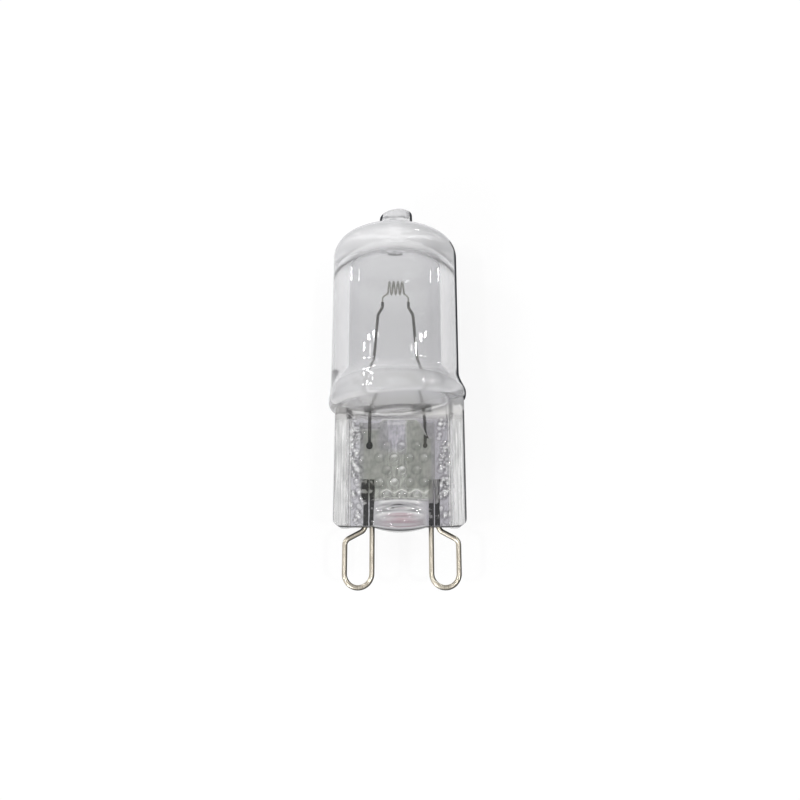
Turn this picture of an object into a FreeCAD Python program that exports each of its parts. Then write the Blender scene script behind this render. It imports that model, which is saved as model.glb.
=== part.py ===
"""Halogen capsule lamp with two wire loop pins, lying on its bulb, in millimetres.

The lamp is laid out upright first: u runs across the two pins, v through the flat pinch,
w along the bulb from the bottom of the pinch (w = 0) to the sealed tip. The finished pieces
are then laid down on the bulb, tip towards +Y, with the flat of the pinch level.
"""

import math
import os

import FreeCAD
import Part
from FreeCAD import Vector

# Flat pinch, a little to one side of the bulb's axis
pinch_offset = 0.5
pinch_height = 12.9
pinch_half_width = 6.86
web_half_thickness = 1.45
rib_width = 1.5
rib_half_thickness = 2.35
rib_rounding = 0.55
corner_rounding = 0.8
swell_half_width = 2.75
swell_half_thickness = 2.5
swell_face_radius = 3.0
swell_drop = 0.4

# Embossed field on both faces of the pinch, from the pinch's own middle
patch_rise = 0.22
patch_left = -3.8
patch_right = 3.3
patch_low_w = 2.8
patch_top_w = 11.1
patch_top_left = -1.8
patch_top_right = 1.6
patch_left_step = 1.1
patch_step_run = 0.5
patch_right_step = 2.0
bump_radius = 0.45
bump_top_radius = 0.24
bump_rise = 0.14
bump_pitch = 1.55
bump_row_step = 1.28
bump_edge = 0.44
bumps_offset = 0.2
bump_rows = 5
bumps_per_row = 3

# Flared rim where the bulb meets the pinch, a little askew, pressed flat on its two broad sides
flare_offset = 0.27
flare_overhang = 0.64
flare_under_inset = 0.9
flare_rise = 0.85
flare_lean = 4.0
flare_lip = 0.7
flare_run = 2.3
flare_blend_inset = 0.3
flare_root_radius = 2.2
flare_root_drop = 0.9
flare_stand = 0.1

# Tube, shoulder, crown and sealed tip
tube_radius = 7.0
tube_length = 17.4
shoulder_height = 2.0
crown_radius = 5.8
crown_rise = 0.95
crown_bow = 0.25
tip_radius = 1.87
tip_height = 2.95
tip_rounding = 0.35
tip_draft = 0.1

# Room inside the bulb
wall = 1.85
floor_thickness = 0.8
floor_corner = 0.9
floor_widening = 0.4
crown_wall = 2.2
ceiling_edge_inset = 1.4
ceiling_edge_drop = 0.75
ceiling_corner_height = 2.3
ceiling_bow = 0.1
cavity_top_radius = 1.85
funnel_height = 1.1
bore_radius = 0.45
tip_wall = 0.9

# Pins, each one bent wire
pins_offset = 0.7
pin_pitch = 9.0
pin_wire_radius = 0.275
pin_loop_width = 2.83
pin_reach = 6.4
pin_leg_gap = 0.09
pin_entry = 3.42
pin_shoulder_drop = 1.35
pin_slope_rise = 1.0
pin_slope_end = 0.28
pin_entry_bend = 0.7
pin_shoulder_bend = 0.75
pin_slight_bend = 1.5
pin_weld = 1.4

# Sealing foils, each with one flat face that the wires are welded to
foils_offset = 0.25
foil_spacing = 5.05
foil_width = 2.95
foil_length = 7.1
foil_thickness = 0.1
foil_low_w = 4.0
foil_face_v = 0.12

# Lead wires from the foils up into the bulb
leads_offset = 0.05
lead_radius = 0.165
lead_weld = 2.6
lead_foot_out = 0.45
lead_low_spread = 2.6
lead_low_height = 1.9
lead_high_spread = 1.97
lead_kink_run = 0.9
lead_end_run = 0.6
lead_wide_bend = 2.0
lead_kink_bend = 0.4

# Filament, one coil across the bulb with two legs
coil_height = 12.9
coil_mean_radius = 0.7
filament_wire_radius = 0.1
coil_pitch = 0.48
coil_turns = 4
leg_spread = 1.46
leg_knee_drop = 1.1
leg_height = 1.7
leg_bend = 0.25

# Sizes and heights that several pieces share
flare_radius = pinch_half_width + flare_overhang
flare_w = pinch_height + flare_rise
flare_lip_w = flare_w + flare_lip
flare_top_w = flare_lip_w + flare_run
tube_top_w = pinch_height + tube_length
crown_w = tube_top_w + shoulder_height
crown_top_w = crown_w + crown_rise
tip_top_w = crown_top_w + tip_height
floor_w = pinch_height + floor_thickness
foil_high_w = foil_low_w + foil_length
coil_w = floor_w + coil_height
leg_foot_w = coil_w - leg_height
patch_face_v = web_half_thickness + patch_rise

# Slope against the axis of the rim's flats, which stand out from the tube and carry the lamp
flat_slope = flare_stand / (tube_top_w - flare_w)


def bowed(a, b, bow, steps):
    """Points of an arc after a and up to b that stands out by bow to the right of the way there."""
    du = b[0] - a[0]
    dw = b[1] - a[1]
    chord = math.hypot(du, dw)
    radius = (chord**2 / 4 + bow**2) / (2 * abs(bow))
    turn = math.copysign(2 * math.asin(chord / 2 / radius), bow)
    start = math.atan2(dw, du) - turn / 2
    u, w = a
    points = []
    for i in range(steps):
        heading = start + turn * (i + 0.5) / steps
        step = 2 * radius * math.sin(abs(turn) / 2 / steps)
        u += step * math.cos(heading)
        w += step * math.sin(heading)
        points.append((u, w))
    points[-1] = b
    return points


def shoulder(a, b, steps):
    """Points after a and up to b of an arc that starts straight up and bends in to the axis."""
    inward = a[0] - b[0]
    rise = b[1] - a[1]
    radius = (inward**2 + rise**2) / (2 * inward)
    turn = math.atan2(rise, radius - inward)
    points = []
    for i in range(1, steps + 1):
        angle = turn * i / steps
        points.append((a[0] - radius * (1 - math.cos(angle)), a[1] + radius * math.sin(angle)))
    points[-1] = b
    return points


def turned(outline, centre_u):
    """A solid turned about the upright axis at centre_u from points that start and end on it."""
    points = [Vector(r, 0, w) for r, w in outline]
    face = Part.Face(Part.makePolygon(points + [points[0]]))
    solid = face.revolve(Vector(0, 0, 0), Vector(0, 0, 1), 360)
    solid.translate(Vector(centre_u, 0, 0))
    return solid


def box(u0, u1, v0, v1, w0, w1):
    return Part.makeBox(u1 - u0, v1 - v0, w1 - w0, Vector(u0, v0, w0))


def wire_path(points, radii):
    """Lines along points in the u-w plane, with an arc of the given radius at each inner corner."""
    edges = []
    begin = Vector(points[0][0], 0, points[0][1])
    for i in range(1, len(points) - 1):
        before, here, after = [Vector(p[0], 0, p[1]) for p in points[i - 1 : i + 2]]
        back = (before - here).normalize()
        ahead = (after - here).normalize()
        half_angle = back.getAngle(ahead) / 2
        radius = radii[i - 1]
        first = here + back * (radius / math.tan(half_angle))
        last = here + ahead * (radius / math.tan(half_angle))
        middle = here + (back + ahead).normalize() * (radius / math.sin(half_angle) - radius)
        if begin.distanceToPoint(first) > 1e-6:
            edges.append(Part.makeLine(begin, first))
        edges.append(Part.Arc(first, middle, last).toShape())
        begin = last
    end = Vector(points[-1][0], 0, points[-1][1])
    edges.append(Part.makeLine(begin, end))
    return edges


def round_wire(edges, radius, sides):
    """A wire of many fine sides along lines and arcs in the u-w plane, one piece."""
    runs = []
    across = Vector(0, 1, 0)
    for edge in edges:
        start = edge.valueAt(edge.FirstParameter)
        end = edge.valueAt(edge.LastParameter)
        beside = edge.tangentAt(edge.FirstParameter).cross(across)
        corners = []
        for i in range(sides):
            angle = 2 * math.pi * i / sides
            corners.append(start + across * (radius * math.cos(angle)) + beside * (radius * math.sin(angle)))
        section = Part.Face(Part.makePolygon(corners + [corners[0]]))
        if edge.Curve.TypeId == "Part::GeomLine":
            runs.append(section.extrude(end - start))
        else:
            turn = math.degrees(edge.LastParameter - edge.FirstParameter)
            runs.append(section.revolve(edge.Curve.Center, edge.Curve.Axis, turn))
    return runs[0].multiFuse(runs[1:]).removeSplitter()


def bulb_outside():
    """The straight tube, the shoulder, the crown and the sealed tip."""
    tube_top = (tube_radius, tube_top_w)
    crown_edge = (crown_radius, crown_w)
    tip_base = (tip_radius + tip_draft, crown_top_w)
    tip_side = (tip_radius, tip_top_w - tip_rounding)
    tip_edge = (tip_radius - tip_rounding, tip_top_w)
    outline = [(0, floor_w), (tube_radius, floor_w), tube_top]
    outline += shoulder(tube_top, crown_edge, 4)
    outline += bowed(crown_edge, tip_base, crown_bow, 2)
    outline += [tip_side]
    outline += bowed(tip_side, tip_edge, tip_rounding * (1 - math.sqrt(0.5)), 2)
    outline += [(0, tip_top_w)]
    return turned(outline, 0)


def flare():
    """The wider rim low on the bulb, running under into the pinch."""
    root_w = pinch_height - flare_root_drop
    under = (flare_radius - flare_under_inset, pinch_height)
    widest = (flare_radius, flare_w)
    lip = (flare_radius - flare_offset / 2, flare_lip_w)
    outline = [(0, root_w), (flare_root_radius, root_w), under]
    outline += bowed(under, widest, flare_under_inset / 3, 2)
    outline += [lip, (tube_radius - flare_blend_inset, flare_top_w), (0, flare_top_w)]
    rim = turned(outline, flare_offset)
    rim.rotate(Vector(flare_offset, 0, flare_w), Vector(0, 1, 0), -flare_lean)
    return rim.common(pressing())


def pressing():
    """The room between the two flats that the rim was pressed to, which run out at the tube's top."""
    low_w = pinch_height - 2 * flare_root_drop
    low_v = tube_radius + (tube_top_w - low_w) * flat_slope
    ring = [Vector(-10, -low_v, low_w), Vector(-10, low_v, low_w)]
    ring += [Vector(-10, tube_radius, tube_top_w), Vector(-10, -tube_radius, tube_top_w)]
    return Part.Face(Part.makePolygon(ring + [ring[0]])).extrude(Vector(20, 0, 0))


def cavity():
    """The room inside the bulb, wider at the bottom, with the narrow closed bore of the tip."""
    room_radius = tube_radius - wall
    widest = (room_radius + floor_widening, floor_w + floor_corner)
    floor_edge = (room_radius + floor_widening - floor_corner, floor_w)
    ceiling = (cavity_top_radius, crown_top_w - crown_wall)
    corner = (room_radius - ceiling_edge_inset, ceiling[1] - ceiling_edge_drop)
    tube_end = (room_radius, corner[1] - ceiling_corner_height)
    bore_foot = (bore_radius, ceiling[1] + funnel_height)
    bore_top_w = tip_top_w - tip_wall
    bore_end = (bore_radius, bore_top_w - bore_radius)
    outline = [(0, floor_w), floor_edge]
    outline += bowed(floor_edge, widest, floor_corner * (1 - math.sqrt(0.5)), 2)
    outline += [(room_radius, flare_top_w), tube_end]
    outline += shoulder(tube_end, corner, 3)
    outline += bowed(corner, ceiling, ceiling_bow, 1)
    outline += bowed(ceiling, bore_foot, -funnel_height / 4, 2)
    outline += [bore_end]
    outline += shoulder(bore_end, (0, bore_top_w), 2)
    return turned(outline, 0)


def rib(side):
    """One thick edge of the pinch, with rounded long edges and a rounded bottom corner."""
    inner = pinch_offset + side * (pinch_half_width - rib_width)
    outer = pinch_offset + side * pinch_half_width
    depth = rib_half_thickness
    block = box(min(inner, outer), max(inner, outer), -depth, depth, 0, flare_w)
    long_edges = [e for e in block.Edges if abs(e.tangentAt(0).z) > 0.9]
    block = block.makeFillet(rib_rounding, long_edges)
    centre_u = outer - side * corner_rounding
    beyond_u = outer + side
    corner = box(min(centre_u, beyond_u), max(centre_u, beyond_u), -2 * depth, 2 * depth, -1, corner_rounding)
    kept = Part.makeCylinder(
        corner_rounding, 4 * depth, Vector(centre_u, -2 * depth, corner_rounding), Vector(0, 1, 0)
    )
    return block.cut(corner.cut(kept))


def swell():
    """The swollen middle of the pinch between the pins, lens shaped seen from below."""
    left = Vector(pinch_offset - swell_half_width, 0, -swell_drop)
    right = Vector(pinch_offset + swell_half_width, 0, -swell_drop)
    near = Vector(pinch_offset, -swell_half_thickness, -swell_drop)
    far = Vector(pinch_offset, swell_half_thickness, -swell_drop)
    outline = Part.Wire([Part.Arc(left, near, right).toShape(), Part.Arc(right, far, left).toShape()])
    lens = Part.Face(outline).extrude(Vector(0, 0, swell_drop + swell_face_radius))
    start = Vector(pinch_offset - swell_half_width, 0, 0)
    rounding = Part.makeCylinder(swell_face_radius, 2 * swell_half_width, start, Vector(1, 0, 0))
    drop_radius = (swell_half_width**2 + swell_drop**2) / (2 * swell_drop)
    below = Vector(pinch_offset, -2 * swell_half_thickness, drop_radius - swell_drop)
    drop = Part.makeCylinder(drop_radius, 4 * swell_half_thickness, below, Vector(0, 1, 0))
    return lens.common(rounding).common(drop)


def patch():
    """The raised field on both faces of the pinch."""
    outline = (
        (patch_left, patch_low_w),
        (patch_right, patch_low_w),
        (patch_right, patch_top_w - patch_right_step),
        (patch_top_right, patch_top_w),
        (patch_top_left, patch_top_w),
        (patch_top_left - patch_step_run, patch_top_w - patch_left_step),
        (patch_left, patch_top_w - patch_left_step),
    )
    points = [Vector(pinch_offset + u, -patch_face_v, w) for u, w in outline]
    face = Part.Face(Part.makePolygon(points + [points[0]]))
    return face.extrude(Vector(0, 2 * patch_face_v, 0))


def bumps():
    """Low round bumps in staggered rows on both faces of the raised field."""
    centre_u = pinch_offset + bumps_offset
    flank = bump_radius - bump_top_radius
    found = []
    for row in range(bump_rows):
        count = bumps_per_row + row % 2
        w = patch_low_w + bump_edge + row * bump_row_step
        for i in range(count):
            u = centre_u + (i - (count - 1) / 2) * bump_pitch
            for side in (-1, 1):
                foot = Part.makePolygon(ring_points(u, side * (patch_face_v - bump_rise), w, bump_radius + flank))
                top = Part.makePolygon(ring_points(u, side * (patch_face_v + bump_rise), w, bump_top_radius))
                found.append(Part.makeLoft([foot, top], True, True))
    return found


def ring_points(u, v, w, radius):
    """Corners of an eight-sided ring facing along v, closed."""
    corners = []
    for i in range(9):
        angle = math.pi * (i + 0.5) / 4
        corners.append(Vector(u + radius * math.cos(angle), v, w + radius * math.sin(angle)))
    return corners


def pinch():
    """The flat end of the bulb, with ribs, swollen middle and embossed field."""
    reach = pinch_half_width - rib_width / 2
    depth = web_half_thickness
    web = box(pinch_offset - reach, pinch_offset + reach, -depth, depth, 0, flare_w)
    return web.multiFuse([rib(-1), rib(1), swell(), patch()] + bumps())


def pin(side):
    """One wire bent to a loop, both legs side by side in the glass and pressed flat at the foil."""
    half_loop = pin_loop_width / 2
    half_entry = pin_wire_radius + pin_leg_gap / 2
    loop_u = pins_offset + side * pin_pitch / 2
    entry_u = pins_offset + side * pin_entry
    buried_w = foil_low_w + pin_weld
    low_w = pin_wire_radius - pin_reach
    slope_w = pin_slope_rise - pin_shoulder_drop
    points = [
        (entry_u - side * half_entry, buried_w),
        (entry_u - side * half_entry, pin_wire_radius),
        (loop_u - side * half_loop, -pin_entry_bend),
        (loop_u - side * half_loop, low_w),
        (loop_u + side * half_loop, low_w),
        (loop_u + side * half_loop, -pin_shoulder_drop),
        (entry_u + side * (half_entry + pin_slope_end), slope_w),
        (entry_u + side * half_entry, pin_wire_radius),
        (entry_u + side * half_entry, buried_w),
    ]
    radii = [pin_slight_bend, pin_slight_bend, half_loop, half_loop]
    radii += [pin_shoulder_bend, pin_entry_bend, pin_entry_bend]
    wire = round_wire(wire_path(points, radii), pin_wire_radius, 10)
    return wire.cut(weld_room(entry_u, foil_low_w, buried_w + pin_wire_radius))


def weld_room(middle_u, low_w, high_w):
    """What is pressed off a round wire where it lies on a foil."""
    reach = foil_width
    return box(middle_u - reach, middle_u + reach, foil_face_v, 2 * pin_wire_radius, low_w, high_w)


def foil_middle(side):
    return foils_offset + side * foil_spacing / 2


def foil(side):
    """The thin sealing foil between the pin and the lead wire."""
    low_u = foil_middle(side) - foil_width / 2
    back_v = foil_face_v + foil_thickness
    return box(low_u, low_u + foil_width, foil_face_v, back_v, foil_low_w, foil_high_w)


def lead(side):
    """The wire from a foil up through the floor of the bulb to the filament leg."""
    foot_u = foil_middle(side) + side * lead_foot_out
    foot_w = foil_high_w - lead_weld
    end_u = leads_offset + side * leg_spread
    points = [
        (foot_u, foot_w),
        (foot_u, foil_high_w + lead_radius),
        (leads_offset + side * lead_low_spread, floor_w + lead_low_height),
        (leads_offset + side * lead_high_spread, leg_foot_w - lead_end_run - lead_kink_run),
        (end_u, leg_foot_w - lead_end_run),
        (end_u, leg_foot_w),
    ]
    radii = [lead_wide_bend, lead_wide_bend, lead_kink_bend, lead_kink_bend]
    wire = round_wire(wire_path(points, radii), lead_radius, 8)
    return wire.cut(weld_room(foot_u, foot_w - lead_radius, foil_high_w))


def filament():
    """The coil lying across the bulb and its two legs, one piece."""
    length = coil_pitch * coil_turns
    first_u = leads_offset - length / 2
    ahead = Vector(0, 2 * math.pi * coil_mean_radius, coil_pitch)
    ring = Part.Circle(Vector(coil_mean_radius, 0, 0), ahead, filament_wire_radius)
    corners = [ring.value(i * math.pi / 2.5) for i in range(5)]
    section = Part.makePolygon(corners + [corners[0]])
    helix = Part.makeHelix(coil_pitch, length, coil_mean_radius)
    body = helix.makePipeShell([section], True, True)
    body.rotate(Vector(0, 0, 0), Vector(0, 1, 0), 90)
    body.translate(Vector(first_u, 0, coil_w))
    top_w = coil_w - coil_mean_radius
    for side, end_u in ((-1, first_u), (1, first_u + length)):
        foot_u = leads_offset + side * leg_spread
        points = [(end_u, top_w), (foot_u, coil_w - leg_knee_drop), (foot_u, leg_foot_w)]
        body = body.fuse(round_wire(wire_path(points, [leg_bend]), filament_wire_radius, 8))
    return body


def envelope(metal):
    """The whole glass body, hollow in the bulb and closed round the metal."""
    glass = bulb_outside().multiFuse([flare(), pinch()])
    return glass.cut(cavity()).cut(metal)


def laid_down(shape, tilt, lift, slide):
    """Turns an upright piece so that the tip points to +Y and the bulb rests on the ground."""
    placed = shape.copy()
    placed.rotate(Vector(0, 0, 0), Vector(1, 0, 0), -90 - tilt)
    placed.translate(Vector(slide.x, slide.y, lift))
    return placed


def main():
    metal = {
        "pin_left": pin(-1),
        "pin_right": pin(1),
        "foil_left": foil(-1),
        "foil_right": foil(1),
        "lead_left": lead(-1),
        "lead_right": lead(1),
    }
    pieces = {"envelope": envelope(list(metal.values())), "filament": filament()}
    pieces.update(metal)
    tilt = math.degrees(math.atan(flat_slope))
    nowhere = Vector(0, 0, 0)
    bounds = FreeCAD.BoundBox()
    for piece in pieces.values():
        bounds.add(laid_down(piece, tilt, 0, nowhere).optimalBoundingBox(False, False))
    slide = Vector(-bounds.Center.x, -bounds.Center.y, 0)
    os.makedirs("parts", exist_ok=True)
    for name, piece in pieces.items():
        placed = laid_down(piece, tilt, -bounds.ZMin, slide)
        solid = placed.Solids[0] if len(placed.Solids) == 1 else placed
        print(name, len(solid.Solids), len(solid.Faces), solid.isValid(), round(solid.Volume, 3))
        solid.exportStep("parts/" + name + ".step")
    print("tilt", round(tilt, 4), "slide", slide, "lift", round(-bounds.ZMin, 4))


main()
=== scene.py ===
import math
import random

import bmesh
import bpy
from mathutils import Matrix, Vector, noise


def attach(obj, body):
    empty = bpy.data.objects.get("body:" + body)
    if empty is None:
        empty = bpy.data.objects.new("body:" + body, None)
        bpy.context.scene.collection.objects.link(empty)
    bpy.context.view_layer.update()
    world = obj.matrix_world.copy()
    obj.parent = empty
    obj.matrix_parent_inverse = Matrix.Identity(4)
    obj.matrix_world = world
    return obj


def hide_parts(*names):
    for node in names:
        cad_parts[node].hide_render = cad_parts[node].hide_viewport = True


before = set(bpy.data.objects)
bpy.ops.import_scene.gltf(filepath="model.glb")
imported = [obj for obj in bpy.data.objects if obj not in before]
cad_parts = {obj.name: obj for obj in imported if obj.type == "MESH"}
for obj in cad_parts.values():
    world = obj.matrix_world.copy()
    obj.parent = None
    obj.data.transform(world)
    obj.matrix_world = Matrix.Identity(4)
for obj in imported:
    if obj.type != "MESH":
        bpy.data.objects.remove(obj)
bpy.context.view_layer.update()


# Sealing foils. Two strips of molybdenum foil, 2.95 mm wide and 7.1 mm long, thin enough for the
# glass to grip. The pins are welded to their lower ends and the lead wires to their upper ends.
# They show as flat greenish grey fields through the pinch, a little blotched by the sealing heat.

def linear(code):
    """An sRGB hex colour as linear red, green, blue and alpha."""
    parts = [int(code[i : i + 2], 16) / 255 for i in (0, 2, 4)]
    return [p / 12.92 if p <= 0.04045 else ((p + 0.055) / 1.055) ** 2.4 for p in parts] + [1.0]


def repeat_each(size):
    """The scale at which a pattern repeats once in a size in millimetres."""
    return 1000 / size


def fill_in(tree, node, values=None, links=None):
    """Gives sockets their values and links. A link from a node is from its first output."""
    for socket, value in (values or {}).items():
        node.inputs[socket].default_value = value
    for socket, source in (links or {}).items():
        output = source.outputs[0] if isinstance(source, bpy.types.Node) else source
        tree.links.new(output, node.inputs[socket])


def add_node(tree, kind, values=None, links=None, **settings):
    """One node with its settings, its socket values and its links."""
    node = tree.nodes.new(kind)
    for name, value in settings.items():
        setattr(node, name, value)
    fill_in(tree, node, values, links)
    return node


def finish_named(name):
    """A material with its tree, its one shader and the place on the object in metres."""
    material = bpy.data.materials.new(name)
    material.use_nodes = True
    tree = material.node_tree
    place = add_node(tree, "ShaderNodeTexCoord").outputs["Object"]
    return material, tree, tree.nodes["Principled BSDF"], place


def set_ramp(ramp_node, stops):
    """Gives a colour ramp its stops, each a place from 0 to 1 and a hex colour."""
    ramp = ramp_node.color_ramp
    while len(ramp.elements) < len(stops):
        ramp.elements.new(0.5)
    for element, (place, code) in zip(ramp.elements, stops):
        element.position = place
        element.color = linear(code)


def foil_finish():
    """Rolled molybdenum foil: dull grey, faintly green, with blotches about 1 mm wide."""
    material, tree, shader, place = finish_named("rolled molybdenum foil")
    blotches = {"Scale": repeat_each(1.11), "Detail": 4, "Roughness": 0.6}
    blotch = add_node(tree, "ShaderNodeTexNoise", blotches, {"Vector": place})
    tone = add_node(tree, "ShaderNodeValToRGB", links={"Fac": blotch})
    set_ramp(tone, [(0.32, "DADBD8"), (0.68, "FAFAF8")])
    grains = {"Scale": repeat_each(0.167), "Detail": 2}
    grain = add_node(tree, "ShaderNodeTexNoise", grains, {"Vector": place})
    bump = add_node(tree, "ShaderNodeBump", {"Strength": 0.25, "Distance": 2e-5}, {"Height": grain})
    fill_in(tree, shader, {"Metallic": 1.0, "Roughness": 0.5}, {"Base Color": tone, "Normal": bump})
    return material


foil_material = foil_finish()
for foil_name in ("foil_left", "foil_right"):
    foil_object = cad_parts[foil_name]
    foil_object.data.materials.clear()
    foil_object.data.materials.append(foil_material)


# Pins. Each is one molybdenum wire 0.55 mm thick, bent to a loop 3.4 mm wide, with both legs
# pressed side by side into the glass. The loops stand 9 mm apart. Outside the glass the wire is
# bright and slightly warm; the legs in the glass have gone dark where they were heated.

# The lamp is drawn upright in millimetres: u to its right, v to its back, w up from the foot of
# the pinch. Then it is laid down, on the flat of its rim and on the top of its tube.
flare_w = 13.75
flare_offset = 0.27
flat_over_tube = 0.1
tube_top_w = 30.3
lamp_tilt = math.atan2(flat_over_tube, tube_top_w - flare_w)
foot_y = -14.91079
foot_z = 7.1831
lamp_shift = Vector((-flare_offset, foot_y, foot_z))


def laid(point):
    """A point of the upright lamp in millimetres, once the lamp is laid down, in metres."""
    return (Matrix.Rotation(-math.pi / 2 - lamp_tilt, 3, "X") @ Vector(point) + lamp_shift) * 0.001


def lay_down(bm):
    """Turns a mesh of the upright lamp in millimetres into one of the lamp laid down, in metres."""
    turn = Matrix.Rotation(-math.pi / 2 - lamp_tilt, 4, "X")
    place = Matrix.Scale(0.001, 4) @ Matrix.Translation(lamp_shift) @ turn
    bmesh.ops.transform(bm, matrix=place, verts=bm.verts)


def finished_piece(name, bm, material, crease=40):
    """A piece with smooth faces and its edges over an angle in degrees kept sharp."""
    mesh = bpy.data.meshes.new(name)
    for face in bm.faces:
        face.smooth = True
    bm.to_mesh(mesh)
    bm.free()
    mesh.set_sharp_from_angle(angle=math.radians(crease))
    mesh.materials.append(material)
    piece = bpy.data.objects.new(name, mesh)
    bpy.context.scene.collection.objects.link(piece)
    return piece


def draw_wire(bm, points, bends, radius, sides=20):
    """Pulls a round section along points in the u-w plane, with a bend radius at each corner."""
    corners = [Vector((u, 0, w)) for u, w in points]
    ahead = (corners[1] - corners[0]).normalized()
    facing = ahead.to_track_quat("Z", "Y").to_matrix().to_4x4()
    start_place = Matrix.Translation(corners[0]) @ facing
    start = bmesh.ops.create_circle(
        bm, cap_ends=True, segments=sides, radius=radius, matrix=start_place
    )
    face = start["verts"][0].link_faces[0]
    here = corners[0]
    for i in range(1, len(corners)):
        ahead = (corners[i] - here).normalized()
        stop = corners[i]
        bend = None
        if i < len(corners) - 1:
            after = (corners[i + 1] - corners[i]).normalized()
            turn = ahead.angle(after)
            bend = bends[i - 1]
            cut = bend * math.tan(turn / 2)
            stop = corners[i] - ahead * cut
        if (stop - here).length > 1e-6:
            pulled = bmesh.ops.extrude_face_region(bm, geom=[face])["geom"]
            end_verts = [g for g in pulled if isinstance(g, bmesh.types.BMVert)]
            bmesh.ops.translate(bm, vec=stop - here, verts=end_verts)
            face = [g for g in pulled if isinstance(g, bmesh.types.BMFace)][0]
        here = stop
        if bend:
            axis = ahead.cross(after).normalized()
            centre = stop + axis.cross(ahead) * bend
            steps = max(3, int(math.degrees(turn) / 6))
            spun = bmesh.ops.spin(
                bm, geom=[face], cent=centre, axis=axis, angle=turn, steps=steps
            )["geom_last"]
            face = [g for g in spun if isinstance(g, bmesh.types.BMFace)][0]
            here = stop + (ahead + after) * cut


def pin_finish():
    """Drawn molybdenum wire: warm silver with fine die lines, dark and patchy in the glass, with
    painted shade on its lower right edges and a painted reflection near the right foil.
    """
    material, tree, shader, place = finish_named("drawn molybdenum wire")
    stretch = {"Scale": (repeat_each(0.111), repeat_each(1.43), repeat_each(0.111))}
    along = add_node(tree, "ShaderNodeMapping", stretch, {"Vector": place})
    lines = add_node(tree, "ShaderNodeTexNoise", {"Scale": 1.0, "Detail": 3}, {"Vector": along})
    bright = add_node(tree, "ShaderNodeValToRGB", links={"Fac": lines})
    set_ramp(bright, [(0.3, "A79F90"), (0.7, "DAD3C5")])

    # In the glass the wire is patchy and dark, but the right pin's legs near the foil are painted
    # light, a painted reflection
    patches = {"Scale": repeat_each(0.588), "Detail": 3}
    patch = add_node(tree, "ShaderNodeTexNoise", patches, {"Vector": place})
    split = add_node(tree, "ShaderNodeSeparateXYZ", links={"Vector": place})
    entry_y = laid((0, 0, 0)).y
    rightward = {"From Min": 0.0, "From Max": 0.001}
    right = add_node(tree, "ShaderNodeMapRange", rightward, {"Value": split.outputs["X"]})
    upward = {"From Min": entry_y + 0.0021, "From Max": entry_y + 0.0029}
    high = add_node(tree, "ShaderNodeMapRange", upward, {"Value": split.outputs["Y"]})
    painted_reflection = add_node(tree, "ShaderNodeMath", links={0: right, 1: high}, operation="MULTIPLY")
    lift = add_node(
        tree, "ShaderNodeMath", {1: 0.4}, {0: painted_reflection, 2: patch}, operation="MULTIPLY_ADD"
    )
    dark = add_node(tree, "ShaderNodeValToRGB", links={"Fac": lift})
    set_ramp(dark, [(0.47, "0C0C0B"), (0.54, "33322D"), (0.62, "DAD9D6")])
    inward = {"From Min": entry_y, "From Max": entry_y + 0.0003}
    buried = add_node(tree, "ShaderNodeMapRange", inward, {"Value": split.outputs["Y"]})
    tone = add_node(
        tree, "ShaderNodeMix", links={0: buried, 6: bright, 7: dark}, data_type="RGBA"
    ).outputs[2]

    # Painted shade: the lower right side of each stretch of wire is darker towards its edge
    aslant = add_node(tree, "ShaderNodeLayerWeight", {"Blend": 0.5}).outputs["Facing"]
    brim = add_node(
        tree, "ShaderNodeMapRange", {"From Min": 0.15, "From Max": 0.4}, {"Value": aslant}
    )
    outward = add_node(tree, "ShaderNodeNewGeometry").outputs["Normal"]
    away = add_node(
        tree, "ShaderNodeVectorMath", {1: (0.8, -0.6, 0.0)}, {0: outward}, operation="DOT_PRODUCT"
    ).outputs["Value"]
    under = add_node(
        tree, "ShaderNodeMapRange", {"From Min": -0.1, "From Max": 0.3}, {"Value": away}
    )
    painted_shade = add_node(tree, "ShaderNodeMath", links={0: brim, 1: under}, operation="MULTIPLY")
    tone = add_node(
        tree, "ShaderNodeMix", {7: linear("1C1B18")}, {0: painted_shade, 6: tone}, data_type="RGBA"
    ).outputs[2]
    bump = add_node(tree, "ShaderNodeBump", {"Strength": 0.15, "Distance": 1e-5}, {"Height": lines})
    fill_in(
        tree, shader, {"Metallic": 1.0, "Roughness": 0.28}, {"Base Color": tone, "Normal": bump}
    )
    return material


pin_radius = 0.275
pins_offset = 0.7
pin_pitch = 9.0
pin_entry = 3.42
pin_reach = 6.38
loop_half = 1.415
leg_half = 0.32
inner_shoulder_drop = 0.7
outer_shoulder_drop = 1.35
slope_rise = 1.0
slope_end = 0.28
foil_low_w = 4.0
pin_top_w = foil_low_w + 0.95
pin_bends = [1.5, 1.5, loop_half, loop_half, 0.75, 0.7, 0.7]
pin_material = pin_finish()
for side, side_name in ((-1, "left"), (1, "right")):
    loop_u = pins_offset + side * pin_pitch / 2
    entry_u = pins_offset + side * pin_entry
    pin_points = [
        (entry_u - side * leg_half, pin_top_w),
        (entry_u - side * leg_half, pin_radius),
        (loop_u - side * loop_half, -inner_shoulder_drop),
        (loop_u - side * loop_half, pin_radius - pin_reach),
        (loop_u + side * loop_half, pin_radius - pin_reach),
        (loop_u + side * loop_half, -outer_shoulder_drop),
        (entry_u + side * (leg_half + slope_end), slope_rise - outer_shoulder_drop),
        (entry_u + side * leg_half, pin_radius),
        (entry_u + side * leg_half, pin_top_w),
    ]
    pin_mesh = bmesh.new()
    draw_wire(pin_mesh, pin_points, pin_bends, pin_radius)
    lay_down(pin_mesh)
    pin_piece = finished_piece("loop_pin_" + side_name, pin_mesh, pin_material)
    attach(pin_piece, "root")
    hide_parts("pin_" + side_name)


# Lead wires. Molybdenum wire 0.33 mm thick from the top of each foil up through the floor of the
# bulb, drawing in towards the filament and kinked inwards at the top, where the legs of the
# filament are held. Grey and dull, with a small dark weld where each lies on its foil.

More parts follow.
